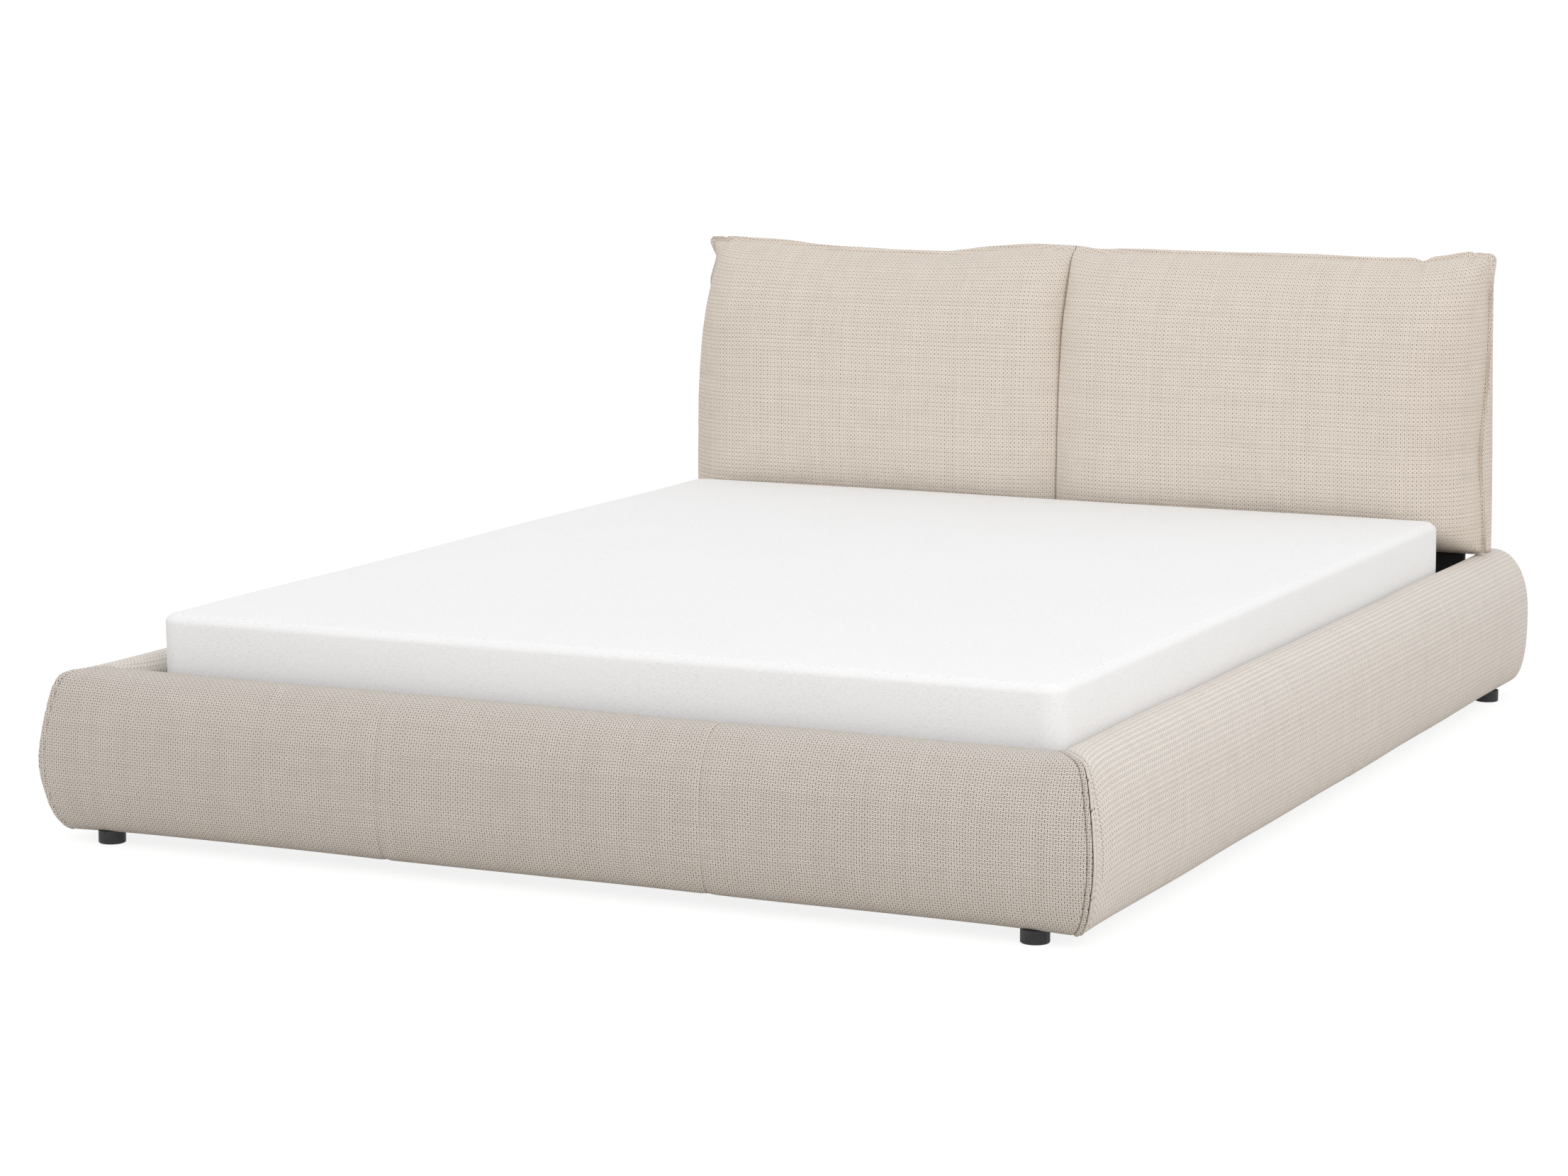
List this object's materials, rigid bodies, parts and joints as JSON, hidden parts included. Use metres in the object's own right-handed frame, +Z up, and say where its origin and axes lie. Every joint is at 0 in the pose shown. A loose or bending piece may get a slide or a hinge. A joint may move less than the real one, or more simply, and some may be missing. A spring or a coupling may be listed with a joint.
{
  "type": "upholstered double bed",
  "caption": "Low upholstered double bed with rounded padded rails, a slatted base, a mattress and a headboard of two large cushions that meet in a deep crease.",
  "frame": {"origin": "on the floor, under the middle of the bed's outer size", "axes": "+X to the right seen from the foot end, +Y towards the headboard, +Z up"},
  "size_m": [1.858, 2.408, 0.8712],
  "materials": {
    "beige_fabric": "coarse plain weave, warm beige, matt",
    "black_lining": "thin black non-woven lining",
    "foam": "upholstery foam, inside the covers",
    "particle_board": "raw particle board",
    "pine": "planed pine",
    "poplar": "planed poplar slats",
    "webbing": "flat woven band",
    "zinc_plated_steel": "zinc plated",
    "black_painted_steel": "satin black powder coat",
    "black_plastic": "moulded black plastic",
    "white_ticking": "white slub weave"
  },
  "bodies": {
    "frame": {"foot_rail_board": "particle_board", "foot_rail_padding": "foam", "foot_rail_cover": "beige_fabric", "foot_rail_lining": "black_lining", "side_rail_board_left": "particle_board", "side_rail_board_right": "particle_board", "side_rail_padding_left": "foam", "side_rail_padding_right": "foam", "side_rail_cover_left": "beige_fabric", "side_rail_cover_right": "beige_fabric", "side_rail_lining_left": "black_lining", "side_rail_lining_right": "black_lining", "corner_bracket_front_left": "zinc_plated_steel", "corner_bracket_front_right": "zinc_plated_steel", "corner_bracket_rear_left": "zinc_plated_steel", "corner_bracket_rear_right": "zinc_plated_steel", "foot_front_left": "black_plastic", "foot_front_right": "black_plastic", "foot_rear_left": "black_plastic", "foot_rear_right": "black_plastic", "slat_ledger_left": "pine", "slat_ledger_right": "pine", "slat_01": "poplar", "slat_02": "poplar", "slat_03": "poplar", "slat_04": "poplar", "slat_05": "poplar", "slat_06": "poplar", "slat_07": "poplar", "slat_08": "poplar", "slat_09": "poplar", "slat_10": "poplar", "slat_11": "poplar", "slat_12": "poplar", "slat_13": "poplar", "slat_webbing_left": "webbing", "slat_webbing_right": "webbing", "centre_beam": "black_painted_steel", "beam_hanger_front": "black_painted_steel", "beam_hanger_rear": "black_painted_steel", "centre_leg_front": "black_painted_steel", "centre_leg_rear": "black_painted_steel", "headboard_panel": "particle_board", "headboard_lower_board": "particle_board", "headboard_lower_lining": "black_lining", "headboard_post_left": "pine", "headboard_post_right": "pine", "headboard_stile_left": "pine", "headboard_stile_right": "pine", "headboard_top_rail": "pine", "headboard_cross_rail": "pine", "headboard_cover": "beige_fabric", "headboard_back_lining": "black_lining", "headboard_cushion_left": "beige_fabric", "headboard_cushion_right": "beige_fabric"},
    "mattress": {"mattress": "white_ticking"},
    "glide_front": {"levelling_glide_front": "black_plastic"},
    "glide_rear": {"levelling_glide_rear": "black_plastic"}
  },
  "joints": [
    {"name": "mattress_lift", "type": "slide", "parent": "frame", "child": "mattress", "axis": [0, 0, 1], "range_m": [0, 0.7]},
    {"name": "glide_front_level", "type": "slide", "parent": "frame", "child": "glide_front", "axis": [0, 0, 1], "range_m": [0, 0.012]},
    {"name": "glide_rear_level", "type": "slide", "parent": "frame", "child": "glide_rear", "axis": [0, 0, 1], "range_m": [0, 0.012]}
  ]
}
